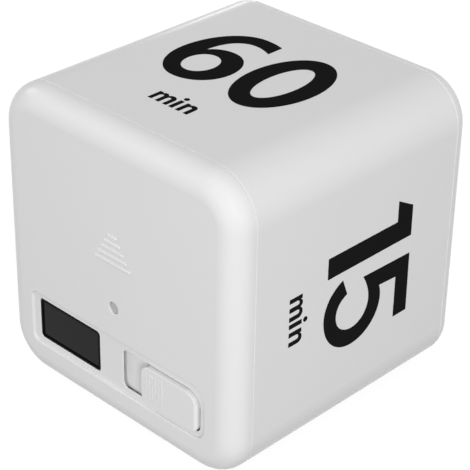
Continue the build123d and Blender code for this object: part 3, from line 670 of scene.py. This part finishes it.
def tracks(tree, across, up, pitch, seed, narrow_way):
    """1 along the tracks of one direction: a line down the middle of some cells of a grid."""
    scaled = [math_node(tree, "DIVIDE", value, size) for value, size in zip((across, up), pitch)]
    cell = tree.nodes.new("ShaderNodeCombineXYZ")
    for number, value in enumerate(scaled):
        tree.links.new(math_node(tree, "FLOOR", value), cell.inputs[number])
    cell.inputs[2].default_value = seed
    chance = tree.nodes.new("ShaderNodeTexWhiteNoise")
    tree.links.new(cell.outputs[0], chance.inputs["Vector"])
    in_cell = math_node(tree, "FRACT", scaled[narrow_way])
    from_middle = math_node(tree, "SUBTRACT", in_cell, track_middle_share)
    line = math_node(tree, "LESS_THAN", math_node(tree, "ABSOLUTE", from_middle), track_half_share)
    kept = math_node(tree, "LESS_THAN", chance.outputs["Value"], track_chance_share)
    return math_node(tree, "MULTIPLY", line, kept)


def copper_tracks(tree, across, back, up):
    """1 along the copper tracks under the lacquer."""
    rows = tracks(tree, across, up, long_track, long_track_seed, 1)
    columns = tracks(tree, across, up, short_track, short_track_seed, 0)
    return math_node(tree, "MAXIMUM", rows, columns)


def raise_zone(name, zone, height):
    """A zone of a finish that stands up in place of the finish's own grain."""
    tree = materials[name].node_tree
    relieved(tree, tree.nodes["Principled BSDF"], zone, height)


raise_zone("board_green", paint_zone("board_green", copper_tracks, copper_tone), track_relief)
paint_zone("chip_ceramic", chip_ends, chip_end_tone, bare_metal=True)
paint_zone("capacitor_sleeve", capacitor_marks, capacitor_mark_tone)
paint_zone("cell_jacket", cell_ends, cell_end_tone, bare_metal=True)
paint_zone("cell_jacket", cell_band, cell_band_tone)

for part in frame["record"]["subparts"]:
    mesh = nodes[part["node"]].data
    mesh.materials.clear()
    mesh.materials.append(materials[part["material_slot"]])


def flat_print(name, outlines, across, up, out):
    """A thin print of outlines in millimetres, on the side of the sleeve that looks this way out."""
    curve = bpy.data.curves.new(name, "CURVE")
    curve.dimensions = "2D"
    curve.fill_mode = "BOTH"
    curve.resolution_u = curve_steps
    curve.extrude = print_thickness / 2
    for outline in outlines:
        spline = curve.splines.new("BEZIER")
        spline.bezier_points.add(len(outline) - 1)
        spline.use_cyclic_u = True
        for point, (u, v, before_u, before_v, after_u, after_v) in zip(spline.bezier_points, outline):
            point.handle_left_type = point.handle_right_type = "FREE"
            point.co = (u, v, 0)
            point.handle_left = (u + before_u, v + before_v, 0)
            point.handle_right = (u + after_u, v + after_v, 0)
    drawing = bpy.data.objects.new(name + "_drawing", curve)
    bpy.context.scene.collection.objects.link(drawing)
    mesh = bpy.data.meshes.new_from_object(drawing)
    bpy.data.objects.remove(drawing)
    mesh.name = name
    low, high = cad_box
    middle = (Vector(low) + Vector(high)) / 2
    middle.y = 0
    half = (high[2] - low[2]) / 2
    turn = Matrix((across, up, out)).transposed().to_4x4()
    lift = Matrix.Translation((0, 0, print_thickness * mm / 2))
    face = Matrix.Translation(middle + half * Vector(out))
    mesh.transform(face @ turn @ lift @ Matrix.Scale(mm, 4))
    piece = bpy.data.objects.new(name, mesh)
    bpy.context.scene.collection.objects.link(piece)
    mesh.materials.clear()
    mesh.materials.append(materials["print_ink"])
    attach(piece, "chassis")


to_right = Vector((1, 0, 0))
to_rear = Vector((0, 1, 0))
to_top = Vector((0, 0, 1))
flat_print("print_60", six + zero + top_min, to_right, to_rear, to_top)
flat_print("print_15", one + five + right_min, -to_top, to_rear, to_right)
flat_print("print_5", single_five + word_min, -to_right, to_rear, -to_top)
flat_print("print_30", three + zero + word_min, to_top, to_rear, -to_right)


def bent_wire(name, points, diameter, slot):
    """A smooth round wire through points in millimetres, in place of the CAD node of this name."""
    curve = bpy.data.curves.new(name + "_wire", "CURVE")
    curve.dimensions = "3D"
    curve.resolution_u = wire_steps
    curve.bevel_depth = diameter * mm / 2
    curve.bevel_resolution = wire_sides
    curve.use_fill_caps = True
    spline = curve.splines.new("NURBS")
    spline.points.add(len(points) - 1)
    for point, place in zip(spline.points, points):
        point.co = (*(Vector(place) * mm), 1)
    spline.order_u = wire_order
    spline.use_endpoint_u = True
    curve.materials.append(materials[slot])
    piece = bpy.data.objects.new(name + "_wire", curve)
    bpy.context.scene.collection.objects.link(piece)
    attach(piece, "chassis")
    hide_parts(name)


def spring_points(side, up):
    """A battery spring's wire: square to its plate and to the cell, winding inwards between them."""

    def on_coil(turn):
        """Point of the coil after so many turns."""
        share = turn / spring_turns
        angle = 2 * math.pi * turn
        radius = spring_base_radius + share * (spring_tip_radius - spring_base_radius)
        reach = spring_entry + share * (spring_length - 2 * spring_entry)
        across = side * (contact_face - reach)
        return (across, cell_back + radius * math.cos(angle), up + radius * math.sin(angle))

    count = spring_turns * steps_per_turn
    coil = [on_coil(number / steps_per_turn) for number in range(count + 1)]
    foot = on_coil(-1 / steps_per_turn)
    top = on_coil(spring_turns + 1 / steps_per_turn)
    face = side * contact_face
    tip = side * (contact_face - spring_length)
    lift = side * spring_wire
    start = [(face, *foot[1:]), (face - lift, *foot[1:])]
    end = [(tip + lift, *top[1:]), (tip, *top[1:])]
    return start + coil + end


bent_wire("upper_spring", spring_points(-1, upper_cell_up), spring_wire, "spring_steel")
bent_wire("lower_spring", spring_points(1, lower_cell_up), spring_wire, "spring_steel")
for name, (diameter, route) in lead_routes.items():
    bent_wire(name, route, diameter, "lead_red" if "red" in name else "lead_black")


def light_path_mix(tree):
    """A factor that is 1 for what the camera sees directly, in a reflection or through glass."""
    path = tree.nodes.new("ShaderNodeLightPath")
    seen = math_node(tree, "ADD", path.outputs["Is Camera Ray"], path.outputs["Is Glossy Ray"])
    return math_node(tree, "ADD", seen, path.outputs["Is Transmission Ray"], clamp=True)


def white_world():
    """Even light from all round, and a white background."""
    world = bpy.data.worlds.new("studio")
    bpy.context.scene.world = world
    world.use_nodes = True
    tree = world.node_tree
    light = tree.nodes["Background"]
    light.inputs["Color"].default_value = (1, 1, 1, 1)
    light.inputs["Strength"].default_value = ambient_level
    white = add_node(tree, "ShaderNodeBackground", inputs={"Color": (1, 1, 1, 1), "Strength": 1.0})
    mix = tree.nodes.new("ShaderNodeMixShader")
    tree.links.new(light_path_mix(tree), mix.inputs[0])
    tree.links.new(light.outputs[0], mix.inputs[1])
    tree.links.new(white.outputs[0], mix.inputs[2])
    tree.links.new(mix.outputs[0], tree.nodes["World Output"].inputs["Surface"])


def pale_floor():
    """A wide white floor that keeps a little of the object's shadow."""
    shape = bmesh.new()
    bmesh.ops.create_grid(shape, x_segments=1, y_segments=1, size=floor_reach)
    mesh = bpy.data.meshes.new("floor")
    shape.to_mesh(mesh)
    shape.free()
    floor = bpy.data.objects.new("floor", mesh)
    bpy.context.scene.collection.objects.link(floor)
    material, tree, shader = new_material("floor_white")
    shader.inputs["Roughness"].default_value = floor_roughness
    place = tree.nodes.new("ShaderNodeTexCoord").outputs["Object"]
    paper = mix_colors(tree, noise(tree, place, floor_cloud, cloud_detail), *floor_tones)
    seen = light_path_mix(tree)
    tree.links.new(mix_colors(tree, seen, floor_bounce, paper), shader.inputs["Base Color"])
    white = add_node(tree, "ShaderNodeEmission", inputs={"Color": (1, 1, 1, 1), "Strength": floor_white})
    mix = tree.nodes.new("ShaderNodeMixShader")
    tree.links.new(math_node(tree, "MULTIPLY", seen, 1 - floor_shade_share), mix.inputs[0])
    tree.links.new(shader.outputs[0], mix.inputs[1])
    tree.links.new(white.outputs[0], mix.inputs[2])
    tree.links.new(mix.outputs[0], tree.nodes["Material Output"].inputs["Surface"])
    mesh.materials.append(material)


def direction(azimuth, elevation):
    """The way to a point round the object: azimuth from the front towards the right."""
    level = math.cos(elevation)
    return Vector((math.sin(azimuth) * level, -math.cos(azimuth) * level, math.sin(elevation)))


def soft_lamp(name, azimuth, elevation, size, power):
    """A soft round lamp that looks at the object, its place given in degrees."""
    lamp = bpy.data.lights.new(name, "AREA")
    lamp.shape = "DISK"
    lamp.size = size
    lamp.energy = power
    way = direction(math.radians(azimuth), math.radians(elevation))
    stand = bpy.data.objects.new(name, lamp)
    stand.location = camera_aim + way * lamp_reach
    stand.rotation_euler = way.to_track_quat("Z", "Y").to_euler()
    stand.visible_glossy = name not in glare_free
    bpy.context.scene.collection.objects.link(stand)


def photo_camera():
    """The camera at the photograph's place."""
    lens = bpy.data.cameras.new("camera")
    lens.lens = camera_lens
    lens.sensor_width = camera_sensor
    lens.sensor_fit = "HORIZONTAL"
    lens.clip_start = camera_near
    lens.shift_x, lens.shift_y = camera_shift
    back = direction(camera_azimuth, camera_elevation)
    right = Vector((0, 0, 1)).cross(back).normalized()
    up = back.cross(right)
    level_right = right * math.cos(camera_roll) + up * math.sin(camera_roll)
    level_up = up * math.cos(camera_roll) - right * math.sin(camera_roll)
    turn = Matrix((level_right, level_up, back)).transposed().to_4x4()
    camera = bpy.data.objects.new("camera", lens)
    camera.matrix_world = Matrix.Translation(camera_aim + back * camera_reach) @ turn
    bpy.context.scene.collection.objects.link(camera)
    bpy.context.scene.camera = camera


white_world()
pale_floor()
for name, values in lamps.items():
    soft_lamp(name, *values)
photo_camera()
bpy.context.scene.view_settings.view_transform = "Standard"
